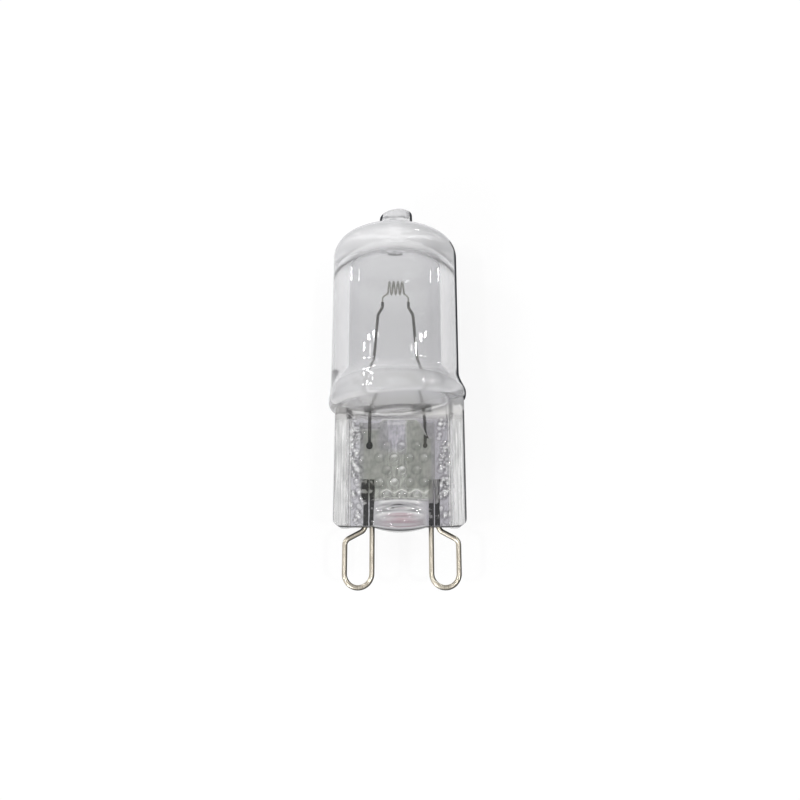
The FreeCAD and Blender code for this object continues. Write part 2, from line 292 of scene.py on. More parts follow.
lead_radius = 0.165
foil_high_w = 11.1
foils_offset = 0.25
foil_spacing = 5.05
lead_foot_out = 0.45
lead_foot_w = foil_high_w - 2.6
weld_w = foil_high_w - 2.5
weld_radii = {"left": 0.36, "right": 0.24}
leads_offset = 0.05
floor_w = 13.7
coil_w = floor_w + 12.9
leg_spread = 1.46
leg_foot_w = coil_w - 1.7
lead_low_spread = 2.6
lead_low_height = 1.9
lead_high_spread = 1.97
lead_kink_run = 0.9
lead_end_run = 0.6
lead_bends = [2.0, 2.0, 0.4, 0.4]


def lead_finish():
    """Grey molybdenum wire, dull from heat, and burnt black round the left weld."""
    material, tree, shader, place = finish_named("heat-dulled molybdenum wire")
    clouds = {"Scale": repeat_each(0.556), "Detail": 4}
    cloud = add_node(tree, "ShaderNodeTexNoise", clouds, {"Vector": place})
    tone = add_node(tree, "ShaderNodeValToRGB", links={"Fac": cloud})
    set_ramp(tone, [(0.35, "4A4947"), (0.65, "77756F")])
    bump = add_node(tree, "ShaderNodeBump", {"Strength": 0.2, "Distance": 1e-5}, {"Height": cloud})
    split = add_node(tree, "ShaderNodeSeparateXYZ", links={"Vector": place})
    burn_top_y = laid((0, 0, weld_w + 0.4)).y
    downward = {"From Min": burn_top_y + 0.0004, "From Max": burn_top_y}
    low = add_node(tree, "ShaderNodeMapRange", downward, {"Value": split.outputs["Y"]})
    left = add_node(
        tree, "ShaderNodeMath", {1: 0.0}, {0: split.outputs["X"]}, operation="LESS_THAN"
    )
    burnt = add_node(tree, "ShaderNodeMath", links={0: low, 1: left}, operation="MULTIPLY")
    tone = add_node(
        tree, "ShaderNodeMix", {7: linear("08080B")}, {0: burnt, 6: tone}, data_type="RGBA"
    ).outputs[2]
    fill_in(tree, shader, {"Metallic": 1.0, "Roughness": 0.4}, {"Base Color": tone, "Normal": bump})
    return material


lead_material = lead_finish()
for side, side_name in ((-1, "left"), (1, "right")):
    foot_u = foils_offset + side * (foil_spacing / 2 + lead_foot_out)
    lead_points = [
        (foot_u, lead_foot_w),
        (foot_u, foil_high_w + lead_radius),
        (leads_offset + side * lead_low_spread, floor_w + lead_low_height),
        (leads_offset + side * lead_high_spread, leg_foot_w - lead_end_run - lead_kink_run),
        (leads_offset + side * leg_spread, leg_foot_w - lead_end_run),
        (leads_offset + side * leg_spread, leg_foot_w),
    ]
    lead_mesh = bmesh.new()
    draw_wire(lead_mesh, lead_points, lead_bends, lead_radius, 16)
    weld = bmesh.ops.create_icosphere(lead_mesh, subdivisions=3, radius=weld_radii[side_name])
    bmesh.ops.scale(lead_mesh, vec=(1.0, 0.45, 1.15), verts=weld["verts"])
    bmesh.ops.translate(lead_mesh, vec=(foot_u, -0.02, weld_w), verts=weld["verts"])
    lay_down(lead_mesh)
    lead_piece = finished_piece("lead_wire_" + side_name, lead_mesh, lead_material)
    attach(lead_piece, "root")
    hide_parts("lead_" + side_name)


# Filament. Tungsten wire first wound to a fine thread 0.2 mm thick and that thread wound again
# to a coil 1.6 mm across, lying crosswise in the bulb, four turns 0.48 mm apart. Its two ends run
# down as legs to the lead wires. The fine winding shows as a ribbed grey thread.

def filament_finish():
    """Coiled tungsten thread: grey, ribbed by its first winding, drawn at 0.09 mm so it shows."""
    material, tree, shader, place = finish_named("coiled tungsten thread")
    winding = {"Scale": repeat_each(0.09) * math.pi / 10, "Distortion": 1.0, "Detail": 1}
    ribs = add_node(tree, "ShaderNodeTexWave", winding, {"Vector": place}).outputs["Fac"]
    tone = add_node(tree, "ShaderNodeValToRGB", links={"Fac": ribs})
    set_ramp(tone, [(0.2, "8B8C82"), (0.8, "D4D4CA")])
    bump = add_node(tree, "ShaderNodeBump", {"Strength": 0.6, "Distance": 3e-5}, {"Height": ribs})
    fill_in(
        tree, shader, {"Metallic": 1.0, "Roughness": 0.35}, {"Base Color": tone, "Normal": bump}
    )
    return material


coil_radius = 0.7
coil_pitch = 0.48
coil_turns = 4
coil_low_w = coil_w - coil_radius
thread_radius = 0.1
turn_steps = 36
leg_knee_w = coil_w - 1.1
leg_bend = 0.25
leg_sunk = 0.15
knot_radius = thread_radius * 1.08
coil_start_u = leads_offset - coil_pitch * coil_turns / 2
filament_mesh = bmesh.new()
upright = Matrix.Rotation(math.pi / 2, 4, "X")
section = bmesh.ops.create_circle(
    filament_mesh,
    cap_ends=True,
    segments=12,
    radius=thread_radius,
    matrix=Matrix.Translation((coil_start_u, 0, coil_low_w)) @ upright,
)
bmesh.ops.spin(
    filament_mesh,
    geom=[section["verts"][0].link_faces[0]],
    cent=(coil_start_u, 0, coil_w),
    axis=(1, 0, 0),
    dvec=(coil_pitch / turn_steps, 0, 0),
    angle=2 * math.pi * coil_turns,
    steps=turn_steps * coil_turns,
)
for side in (-1, 1):
    end_u = leads_offset + side * coil_pitch * coil_turns / 2
    leg_u = leads_offset + side * leg_spread
    leg_points = [(end_u, coil_low_w), (leg_u, leg_knee_w), (leg_u, leg_foot_w - leg_sunk)]
    draw_wire(filament_mesh, leg_points, [leg_bend], thread_radius, 12)
    knot = bmesh.ops.create_icosphere(filament_mesh, subdivisions=2, radius=knot_radius)
    bmesh.ops.translate(filament_mesh, vec=(end_u, 0, coil_low_w), verts=knot["verts"])
bmesh.ops.recalc_face_normals(filament_mesh, faces=filament_mesh.faces[:])
lay_down(filament_mesh)
filament_piece = finished_piece("coiled_filament", filament_mesh, filament_finish())
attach(filament_piece, "root")
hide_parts("filament")


# Glass body. A tube of clear fused silica, 14 mm across with walls of 1.85 mm, closed by a crown
# with the stub of the exhaust tube on top. Its open end was heated and pressed flat round the
# metal: thick edges, a thin web with bumps pressed into it, a swollen middle between the pins,
# and a flared rim where round turns to flat. One piece of glass with one sealed room inside.

def straight(a, b, steps):
    """Points of a straight line after a and up to b."""
    return [
        (a[0] + (b[0] - a[0]) * i / steps, a[1] + (b[1] - a[1]) * i / steps)
        for i in range(1, steps + 1)
    ]


def bowed(a, b, bow, steps):
    """Points of an arc after a and up to b that stands out by bow to the right of the way there."""
    du = b[0] - a[0]
    dw = b[1] - a[1]
    chord = math.hypot(du, dw)
    radius = (chord**2 / 4 + bow**2) / (2 * abs(bow))
    turn = math.copysign(2 * math.asin(min(1, chord / 2 / radius)), bow)
    heading = math.atan2(dw, du) - turn / 2
    step = 2 * radius * math.sin(abs(turn) / 2 / steps)
    u, w = a
    points = []
    for i in range(steps):
        u += step * math.cos(heading + turn * (i + 0.5) / steps)
        w += step * math.sin(heading + turn * (i + 0.5) / steps)
        points.append((u, w))
    return points


def shoulder(a, b, steps):
    """Points after a and up to b of an arc that starts straight up and bends in to the axis."""
    inward = a[0] - b[0]
    rise = b[1] - a[1]
    radius = (inward**2 + rise**2) / (2 * inward)
    turn = math.atan2(rise, radius - inward)
    angles = [turn * i / steps for i in range(1, steps + 1)]
    return [(a[0] - radius * (1 - math.cos(t)), a[1] + radius * math.sin(t)) for t in angles]


def blown(outline, turns=144):
    """A round glass skin spun from points (radius, w) that start and end on the axis."""
    bm = bmesh.new()
    verts = [bm.verts.new((max(r, 0), 0, w)) for r, w in outline]
    edges = [bm.edges.new(pair) for pair in zip(verts, verts[1:])]
    bmesh.ops.spin(
        bm,
        geom=verts + edges,
        cent=(0, 0, 0),
        axis=(0, 0, 1),
        angle=2 * math.pi,
        steps=turns,
        use_merge=True,
    )
    bmesh.ops.remove_doubles(bm, verts=bm.verts[:], dist=1e-4)
    bmesh.ops.recalc_face_normals(bm, faces=bm.faces[:])
    return bm


def eased(x, low, high):
    """0 below low, 1 above high, and a soft rise between."""
    t = min(1, max(0, (x - low) / (high - low)))
    return t * t * (3 - 2 * t)


# The outside of the bulb as places (radius, w), from under the rim up to the tip
tube_radius = 7.0
flare_radius = 7.47
flare_foot = (2.2, 12.0)
flare_under = (6.6, 12.9)
flare_lip = (7.33, flare_w + 0.8)
flare_top_w = flare_w + 3.0
flare_lean = math.radians(4)
crown = (5.8, tube_top_w + 2.0)
tip_base = (1.97, crown[1] + 0.95)
tip_waist = (tip_base[0] - 0.07, tip_base[1] + 2.4)
tip_side = (1.87, tip_base[1] + 2.6)
tip_edge = (1.52, tip_base[1] + 2.95)
tip_dish = (0.7, tip_edge[1] - 0.02)
tip_slant = 0.12
tip_lean = 0.12

outline = [(0, flare_foot[1]), (1.0, flare_foot[1]), flare_foot]
outline += straight(flare_foot, flare_under, 24)
outline += bowed(flare_under, (flare_radius, flare_w), 0.28, 8)
outline += bowed((flare_radius, flare_w), flare_lip, 0.05, 4)
for i in range(1, 11):
    drawn_in = (flare_lip[0] - tube_radius) * math.sin(math.pi / 2 * i / 10)
    outline.append((flare_lip[0] - drawn_in, flare_lip[1] + (flare_top_w - flare_lip[1]) * i / 10))
outline += straight((tube_radius, flare_top_w), (tube_radius, tube_top_w), 12)
outline += shoulder((tube_radius, tube_top_w), crown, 16)
outline += bowed(crown, tip_base, 0.25, 12)
outline += straight(tip_base, tip_waist, 6)[:-1]
outline += [tip_side]
outline += bowed(tip_side, tip_edge, 0.1025, 6)
outline += [tip_dish, (0, tip_edge[1] - 0.05)]
bulb_skin = blown(outline)

# The rim is pressed flat before and behind and sits askew; the tip was sealed off on a slant
for vert in bulb_skin.verts:
    reach = math.hypot(vert.co.x, vert.co.y)
    level = tube_radius + flat_over_tube * (tube_top_w - vert.co.z) / (tube_top_w - flare_w)
    if vert.co.z < flare_top_w and reach > level:
        kept = level + (reach - level) * (1 - (vert.co.y / reach) ** 4)
        vert.co.x *= kept / reach
        vert.co.y *= kept / reach
    askew = 1 - eased(vert.co.z, flare_w, flare_top_w)
    vert.co.x += flare_offset * askew
    vert.co.z += vert.co.x * math.tan(flare_lean) * askew
    if vert.co.z > tip_base[1] + 0.1:
        sealed = (vert.co.z - tip_base[1]) / (tip_edge[1] - tip_base[1])
        vert.co.z -= tip_slant * sealed * (tip_side[0] - vert.co.x)
        vert.co.x += tip_lean * sealed


# The pinch, measured from its own middle
pinch_offset = 0.5
pinch_half_width = 6.86
skin_top_w = 14.2
corner_radius = 0.8
edge_radius = 0.5
foot_radius = 0.45
web_half = 1.45
rib_rise = 0.9
rib_foot = 5.16
rib_top = 5.61
field_rise = 0.22
swell_half_width = 2.75
swell_rise = 1.05
swell_ripple = 0.05
swell_drop = 0.4
bump_radius = 0.5
bump_rise = 0.16
bump_pitch = 1.55
bump_row_step = 1.28
bumps_u = 0.2
bumps_low_w = 3.24
bump_places = []
for row in range(5):
    count = 3 + row % 2
    for i in range(count):
        bump_u = bumps_u + (i - (count - 1) / 2) * bump_pitch
        bump_places.append((bump_u, bumps_low_w + row * bump_row_step))

# Dents that the jaws left on both sides of the field, each a place, a radius and a depth
random.seed(7)
dent_places = []
for i in range(90):
    dent_side = random.choice((-1, 1))
    dent_u = random.uniform(4.0, 5.4) * dent_side + 0.1
    dent_w = random.uniform(0.6, 11.6)
    dent_places.append((dent_u, dent_w, random.uniform(0.2, 0.46), random.uniform(-0.16, 0.12)))


def within(x, low, low_end, high_start, high):
    """1 from the low end to the high start, 0 below low and above high, and soft between."""
    return eased(x, low, low_end) * (1 - eased(x, high_start, high))


def ridge(gap, reach):
    """1 where the gap is nothing, and softly down to 0 over the reach on both sides."""
    return math.exp(-((gap / reach) ** 2))


def rounded_off(depth_in, radius):
    """How far an edge's rounding falls back from the flat, at a depth into the rounding."""
    return radius - math.sqrt(max(0, radius**2 - max(0, depth_in) ** 2))


def field_top(u):
    """The upper edge of the embossed field, which steps down on both sides."""
    return 11.1 - 1.1 * (1 - eased(u, -2.35, -1.75)) - 2.0 * eased(u, 1.6, 3.3)


def pinch_face(u, w, dents):
    """How far the face of the pinch stands from its middle plane."""
    side = abs(u)
    half = web_half + rib_rise * eased(side, rib_foot, rib_top)
    half -= rounded_off(side - (pinch_half_width - edge_radius), edge_radius)
    top = field_top(u)
    field = within(u, -4.2, -3.6, 3.1, 3.6) * within(w, 2.7, 2.95, top - 0.12, top + 0.12)
    half += field_rise * field
    for bump_u, bump_w in bump_places:
        gap = math.hypot(u - bump_u, w - bump_w) / bump_radius
        if gap < 1:
            half += bump_rise * (1 - gap * gap) ** 1.5
    for dent_u, dent_w, size, depth in dents:
        gap = math.hypot(u - dent_u, w - dent_w) / size
        if gap < 1:
            half += depth * (1 - gap * gap) ** 2
    if side < swell_half_width:
        across = (1 - (side / swell_half_width) ** 2) ** 1.4
        rise = swell_rise + swell_ripple * math.sin(w * 8.3)
        half += rise * across * (1 - eased(w, 0.7, 3.1))
    return half


def pinch_skin():
    """The pressed end of the tube: two pressed faces, joined round their rim."""
    bm = bmesh.new()
    for v_side, seed in ((-1, 3), (1, 4)):
        random.seed(seed)
        dents = [(*dent[:3], dent[3] * random.uniform(0.5, 1.0)) for dent in dent_places]
        grid = bmesh.ops.create_grid(bm, x_segments=150, y_segments=140, size=1)["verts"]
        for vert in grid:
            u = vert.co.x * pinch_half_width
            w = (vert.co.y + 1) / 2 * skin_top_w
            over = abs(u) - (pinch_half_width - corner_radius)
            under = corner_radius - w
            if over > 0 and under > 0:
                pull = max(over, under) / math.hypot(over, under)
                u = math.copysign(pinch_half_width - corner_radius + over * pull, u)
                w = corner_radius - under * pull
            half = pinch_face(u, w, dents) - rounded_off(foot_radius - w, foot_radius)
            if abs(u) < swell_half_width:
                w -= swell_drop * (1 - (u / swell_half_width) ** 2) * (1 - eased(w, 0, 1.2))
            vert.co = (u + pinch_offset, v_side * half, w)
    bmesh.ops.bridge_loops(bm, edges=[e for e in bm.edges if e.is_boundary])
    bmesh.ops.recalc_face_normals(bm, faces=bm.faces[:])
    return bm


def shade(code):
    """The red, green and blue of a colour, to mix by place."""
    return Vector(linear(code)[:3])


def swell_tone(u, w):
    """The swollen middle: bands of painted highlight and painted shade across it, and a rosy
    painted reflection near its lower edge.
    """
    tone = shade("BDBCBF")
    painted_highlight_bands = ((2.5, 0.2, "EAEAEA"), (1.85, 0.12, "E2E2E2"), (1.2, 0.16, "FFFFFF"))
    painted_shade_bands = ((2.15, 0.14, "A09FA2"), (1.55, 0.13, "9A999C"))
    for bands, soft_u, end_u in ((painted_highlight_bands, 1.6, 2.5), (painted_shade_bands, 1.4, 2.4)):
        across = 1 - eased(abs(u), soft_u, end_u)
        for band_w, reach, code in bands:
            tone = tone.lerp(shade(code), ridge(w - band_w, reach) * across)
    return tone.lerp(shade("9A7781"), 0.9 * ridge(u - 0.2, 1.5) * ridge(w - 0.62, 0.32))


def field_tone(u, w):
    """The embossed field: olive grey over the foils, lilac between them, its bumps marked with
    rings of painted shade and painted glints.
    """
    tone = shade("ABADA7")
    between = within(u, -2.6, -1.9, 0.4, 0.9) * eased(w, 7.4, 8.6)
    tone = tone.lerp(shade("B7B5BC"), between)
    clouds = 0.3 * noise.noise(Vector((u * 1.6, w * 1.6, 5.0)))
    grain = 0.5 * noise.noise(Vector((u * 4.5, w * 2.2, 8.0)))
    tone *= 1 + clouds + grain
    # Round each bump a dark ring of painted shade, and a painted glint near its top
    for bump_u, bump_w in bump_places:
        gap = math.hypot(u - bump_u, w - bump_w) / bump_radius
        if gap < 1.5:
            tone *= 1 - 0.42 * ridge(gap - 0.95, 0.22)
            glint_gap = math.hypot(u - bump_u - 0.12, w - bump_w - 0.2)
            tone = tone.lerp(shade("FFFFFF"), ridge(glint_gap, 0.17))
    # A wavy painted highlight over the lowest row of bumps, with painted shade just under it
    crest = 3.4 + 0.36 * abs(math.cos(math.pi * (u - bumps_u) / bump_pitch)) ** 1.5
    along = within(u, -2.1, -1.8, 3.0, 3.3)
    tone *= 1 - 0.4 * along * ridge(w - crest + 0.28, 0.2)
    return tone.lerp(shade("FAFAF6"), 0.95 * along * ridge(w - crest, 0.08))


def pressed_tone(u, w):
    """The light that the pressed end lets through, by its parts."""
    side = abs(u)
    rib_streak = noise.noise(Vector((u * 5.5, w * 0.45, 1.0))) + 0.5
    rib = shade("DDDDDD") * (0.68 + 0.64 * rib_streak)
    web = shade("C2C1C6" if u < 0 else "B0AEB4")
    web *= 1 + 0.3 * noise.noise(Vector((u * 5, w * 3.2, 9.0)))
    # Each dent gets a dark ring of painted shade and a white middle, a painted glint
    for dent_u, dent_w, size, depth in dent_places:
        gap = math.hypot(u - dent_u, w - dent_w) / size
        if gap < 1.3:
            web *= 1 - 0.5 * ridge(gap - 0.95, 0.22)
            web = web.lerp(shade("FFFFFF"), math.exp(-((gap / 0.55) ** 4)))
    tone = web.lerp(rib, eased(side, 5.05, 5.4))
    # A painted highlight along the inner slope of each rib
    tone = tone.lerp(shade("FDFDFD"), 0.8 * ridge(side - 5.5, 0.12))

    # The field between the ribs, with a painted highlight along its upper edge
    top = field_top(u)
    across = within(u, -3.95, -3.65, 3.15, 3.45)
    field = across * within(w, 2.7, 2.95, top - 0.12, top + 0.12)
    tone = tone.lerp(field_tone(u, w), field)
    tone = tone.lerp(shade("FAFAF8"), 0.85 * across * ridge(w - top - 0.1, 0.1))

    # Dark broken ticks along the upper and outer edge of the left foil
    foil_edge = ridge(w - 10.3, 0.09) * within(u, -4.2, -4.0, -2.2, -1.9)
    foil_edge = max(foil_edge, ridge(u + 4.0, 0.08) * within(w, 8.4, 8.8, 10.3, 10.5))
    broken = min(1, max(0, 0.5 + 1.8 * noise.noise(Vector((u * 3, w * 3, 2.0)))))
    tone *= 1 - 0.85 * foil_edge * broken

    # The swollen middle below, and the smooth glass under the rim
    swell = (1 - eased(side, 2.6, 2.85)) * (1 - eased(w, 2.6, 2.95))
    tone = tone.lerp(swell_tone(u, w), swell)
    tone = tone.lerp(shade("E6E5E3"), eased(w, 11.3, 11.9))
    return Vector([min(1, part) for part in tone])


def crease_tone(u, h, tone):
    """The crease under the rim, in painted light: a dark arc of painted shade over a light arc of
    painted highlight, and dark bands of painted shade on both sides; h the height where it is seen.
    """
    arc = 13.2 - 0.06 * (u - 0.3) ** 2
    middle = within(u, -2.9, -2.4, 1.2, 1.7)
    tone = tone.lerp(shade("FFFFFF"), middle * ridge(h - arc + 0.36, 0.14))
    dark = 0.6 * middle * ridge(h - arc, 0.08)
    for low_u, high_u, shade_band_h in ((-4.0, -2.4, 12.55), (1.1, 3.6, 12.78)):
        across = within(u, low_u, low_u + 0.4, high_u - 0.4, high_u)
        dark = max(dark, 0.8 * across * math.exp(-(((h - shade_band_h) / 0.42) ** 4)))
    return tone.lerp(shade("646463"), dark)


def glass_tone(place):
    """The light that the glass lets through at a place, with painted highlights and painted shade,
    and how clear of haze it is there.
    """
    u, v, w = place

    # Haze in the crown and the rim stands in for light that wanders about in the thick glass
    upper = 1 - eased(v, -3, 1)
    milky = 0.12 + 0.54 * upper
    if w < 31.5 and math.hypot(u, v) < 5.3:
        milky *= 0.4
    haze = 0.05 + milky * eased(w, 27.6, 29.8) - 0.35 * upper * eased(w, 33.2, 34.0)
    haze += 0.3 * within(w, 11.2, 12.0, 14.5, 17)

    # The tube, and under its tip a light and a dark streak
    clear = shade("E8E8E9").lerp(
        shade("F6F6F7"), eased(w, 24, 29) + 0.8 * (1 - eased(w, 14, 16.5))
    )
    if v < 0:
        clear = clear.lerp(shade("EAEAEB"), upper * eased(w, 27.6, 29.8))
        sealed = within(w, 31.8, 32.2, 33.0, 33.3)
        clear = clear.lerp(shade("FFFFFF"), sealed * ridge(u + 1.35, 0.13))
        streak_u = 1.0 + 0.3 * (w - 32.2)
        clear = clear.lerp(shade("8F8F82"), 0.8 * sealed * ridge(u - streak_u, 0.2))
    across = u - pinch_offset
    tone = clear if w > 13.2 else pressed_tone(across, w).lerp(clear, eased(w, 12.4, 13.2))
    if v < 0 and 11 < w < 14:
        tone = crease_tone(across, w - 0.24 * v, tone)
    if w > 13.2:
        return (*tone, 1 - haze)

    # Painted shade: dark lines along the foot of the pinch and down its right edge
    above_foot = w + swell_drop * max(0, 1 - (across / swell_half_width) ** 2)
    dark = (0.95 if v > 0 else 1.0) * (1 - eased(above_foot, 0.02, 0.08))
    if v < 0:
        dark = max(dark, within(across, 6.6, 6.7, 6.8, 6.86) * (1 - eased(w, 12, 12.4)))
    return (*tone.lerp(shade("2C2D31"), dark), (1 - haze) * (1 - dark))


def glass_finish(name, roughness):
    """Fused silica: faint grey, with painted shade where it is seen aslant, and a dark line of
    painted shade down its right and round its tip.
    """
    material, tree, shader, place = finish_named(name)
    tone = add_node(tree, "ShaderNodeAttribute", attribute_name="tone")
    facing = add_node(tree, "ShaderNodeLayerWeight", {"Blend": 0.5}).outputs["Facing"]
    # Painted shade: the glass is drawn darker where it is seen aslant
    aslant = add_node(tree, "ShaderNodeValToRGB", links={"Fac": facing})
    set_ramp(aslant, [(0.1, "FFFFFF"), (0.5, "ECECED"), (0.9, "DADADD")])
    spot = add_node(tree, "ShaderNodeSeparateXYZ", links={"Vector": place})
    geometry = add_node(tree, "ShaderNodeNewGeometry")

    # A dark line of painted shade shows where the outside turns away sideways, on the right and
    # round the tip
    outward = add_node(
        tree, "ShaderNodeSeparateXYZ", links={"Vector": geometry.outputs["Normal"]}
    ).outputs["X"]
    sideways = add_node(tree, "ShaderNodeMath", links={0: outward}, operation="ABSOLUTE")
    backward = geometry.outputs["Backfacing"]
    front = add_node(tree, "ShaderNodeMath", {0: 1.0}, {1: backward}, operation="SUBTRACT")
    right_x = 0.0058
    right = add_node(
        tree, "ShaderNodeMath", {1: right_x}, {0: spot.outputs["X"]}, operation="GREATER_THAN"
    )
    tip_y = laid((0, 0, tip_base[1] + 0.9)).y
    tip = add_node(
        tree, "ShaderNodeMath", {1: tip_y}, {0: spot.outputs["Y"]}, operation="GREATER_THAN"
    )
    lines = []
    for where, least_slant, least_side in ((right, 0.73, 0.4), (tip, 0.52, 0.6)):
        slants = {"From Min": least_slant, "From Max": least_slant + 0.06}
        slanted = add_node(tree, "ShaderNodeMapRange", slants, {"Value": facing})
        sides = {"From Min": least_side, "From Max": least_side + 0.2}
        beside = add_node(tree, "ShaderNodeMapRange", sides, {"Value": sideways})
        painted_shade_line = front
        for factor in (where, beside, slanted):
            painted_shade_line = add_node(
                tree, "ShaderNodeMath", links={0: painted_shade_line, 1: factor}, operation="MULTIPLY"
            )
        lines.append(painted_shade_line)
    painted_shade_line = add_node(
        tree, "ShaderNodeMath", links={0: lines[0], 1: lines[1]}, operation="MAXIMUM"
    )
    seen = add_node(
        tree,
        "ShaderNodeMix",
        {0: 1.0},
        {6: tone, 7: aslant},
        data_type="RGBA",
        blend_type="MULTIPLY",
    ).outputs[2]
    seen = add_node(
        tree, "ShaderNodeMix", {7: linear("38393D")}, {0: painted_shade_line, 6: seen}, data_type="RGBA"
    ).outputs[2]
    bare = add_node(tree, "ShaderNodeMath", {0: 1.0}, {1: painted_shade_line}, operation="SUBTRACT")
    clear = add_node(
        tree, "ShaderNodeMath", links={0: tone.outputs["Alpha"], 1: bare}, operation="MULTIPLY"
    )
    gloss = add_node(
        tree, "ShaderNodeMapRange", {"From Max": 0.5, "To Max": 0.5}, {"Value": clear}
    )
    links = {"Base Color": seen, "Transmission Weight": clear, "Specular IOR Level": gloss}
    fill_in(tree, shader, {"Roughness": roughness, "IOR": 1.46}, links)
    return material, tree, shader, place


def drawn_glass_finish():
    """The tube: fire polished, with slight lengthwise draw lines."""
    material, tree, shader, place = glass_finish("clear fused silica", 0.0)
    stretch = {"Scale": (repeat_each(2.38), repeat_each(16.7), repeat_each(2.38))}
    drawn = add_node(tree, "ShaderNodeMapping", stretch, {"Vector": place})
    lines = add_node(tree, "ShaderNodeTexNoise", {"Scale": 1.0, "Detail": 2}, {"Vector": drawn})
    bump = add_node(tree, "ShaderNodeBump", {"Strength": 0.3, "Distance": 2e-5}, {"Height": lines})
    fill_in(tree, shader, links={"Normal": bump})
    return material


def pressed_glass_finish():
    """The pinch: chilled by the jaws, so dimpled every 0.6 mm or so and a little dull."""
    material, tree, shader, place = glass_finish("pressed fused silica", 0.06)
    dimples = {"Scale": repeat_each(0.588), "Smoothness": 0.6}
    cells = add_node(
        tree, "ShaderNodeTexVoronoi", dimples, {"Vector": place}, feature="SMOOTH_F1"
    )
    bump = add_node(tree, "ShaderNodeBump", {"Strength": 0.3, "Distance": 6e-5}, {"Height": cells})
    fill_in(tree, shader, links={"Normal": bump})
    return material


def blank_object(name, bm):
    """A loose object to join others with."""
    mesh = bpy.data.meshes.new(name)
    bm.to_mesh(mesh)
    bm.free()
    blank = bpy.data.objects.new(name, mesh)
    bpy.context.scene.collection.objects.link(blank)
    return blank


# Bulb and pinch become one skin, and the seam between them is melted soft
bulb_blank = blank_object("bulb_blank", bulb_skin)
pinch_blank = blank_object("pinch_blank", pinch_skin())
weld_up = bulb_blank.modifiers.new("pinch", "BOOLEAN")
weld_up.operation = "UNION"
weld_up.solver = "EXACT"
weld_up.object = pinch_blank
depsgraph = bpy.context.evaluated_depsgraph_get()
welded = bpy.data.meshes.new_from_object(bulb_blank.evaluated_get(depsgraph))
glass_mesh = bmesh.new()
glass_mesh.from_mesh(welded)
for blank in (bulb_blank, pinch_blank):
    bpy.data.objects.remove(blank)
seam_low_w = 11.5
seam_high_w = 15.0
seam_angle = 0.5
near_seam = set()
for edge in glass_mesh.edges:
    if seam_low_w < edge.verts[0].co.z < seam_high_w and edge.is_manifold:
        if edge.calc_face_angle(0) > seam_angle:
            near_seam |= set(edge.verts)
for ring in range(2):
    near_seam |= {edge.other_vert(vert) for vert in near_seam for edge in vert.link_edges}
for turn in range(8):
    bmesh.ops.smooth_vert(
        glass_mesh,
        verts=list(near_seam),
        factor=0.5,
        use_axis_x=True,
        use_axis_y=True,
        use_axis_z=True,
    )

# The sealed room, from the middle of its floor to the end of the bore in the tip
wall = 1.85
tip_wall = 0.9
bore_radius = 0.45
room_radius = tube_radius - wall
floor_edge = (room_radius - 0.5, floor_w)
foot_widening = 0.4
foot_run = 2.6
room_foot = (room_radius + foot_widening, floor_w + 0.9)
room_low_w = room_foot[1] + foot_run
ceiling = (1.85, tip_base[1] - 2.2)
ceiling_edge = (room_radius - 1.4, ceiling[1] - 0.75)
room_top_w = ceiling_edge[1] - 2.3
bore_foot = (bore_radius, ceiling[1] + 1.1)
bore_end = (bore_radius, tip_edge[1] - tip_wall - bore_radius)
room = [(0, floor_w), (2.0, floor_w), floor_edge]
room += bowed(floor_edge, room_foot, 0.26, 10)
for i in range(1, 9):
    widening = foot_widening * (1 - eased(i, 0, 8))
    room.append((room_radius + widening, room_foot[1] + foot_run * i / 8))
room += straight((room_radius, room_low_w), (room_radius, room_top_w), 12)
room += shoulder((room_radius, room_top_w), ceiling_edge, 16)
room += bowed(ceiling_edge, ceiling, 0.1, 6)
room += bowed(ceiling, bore_foot, -0.275, 8)
room += [bore_end]
room += shoulder(bore_end, (0.0, bore_end[1] + bore_radius), 6)
room_skin = blown(room)
for vert in room_skin.verts:
    reach = math.hypot(vert.co.x, vert.co.y)
    if reach > room_radius:
        kept = room_radius + (reach - room_radius) * (vert.co.x / reach) ** 2
        vert.co.x *= kept / reach
        vert.co.y *= kept / reach
    vert.co.y *= 0.45 + 0.55 * eased(vert.co.z, 13.5, 16.2)
    vert.co.x *= 1.04 - 0.04 * eased(vert.co.z, 13.7, 16)
bmesh.ops.reverse_faces(room_skin, faces=room_skin.faces[:])
room_mesh = bpy.data.meshes.new("room")
room_skin.to_mesh(room_mesh)
room_skin.free()
glass_mesh.from_mesh(room_mesh)

tone_layer = glass_mesh.verts.layers.float_color.new("tone")
for vert in glass_mesh.verts:
    vert[tone_layer] = glass_tone(vert.co)
pressed_top_w = 12.2
for face in glass_mesh.faces:
    face.material_index = 1 if face.calc_center_median().z < pressed_top_w else 0
lay_down(glass_mesh)
glass_piece = finished_piece("glass_body", glass_mesh, drawn_glass_finish(), 50)
glass_piece.data.materials.append(pressed_glass_finish())
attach(glass_piece, "root")
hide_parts("envelope")


# Studio. The lamp lies on a plain white sweep. The camera looks down on it from the side of the
# pins, 14 degrees off square to the bulb and 78 mm away, as near as the photograph was taken.

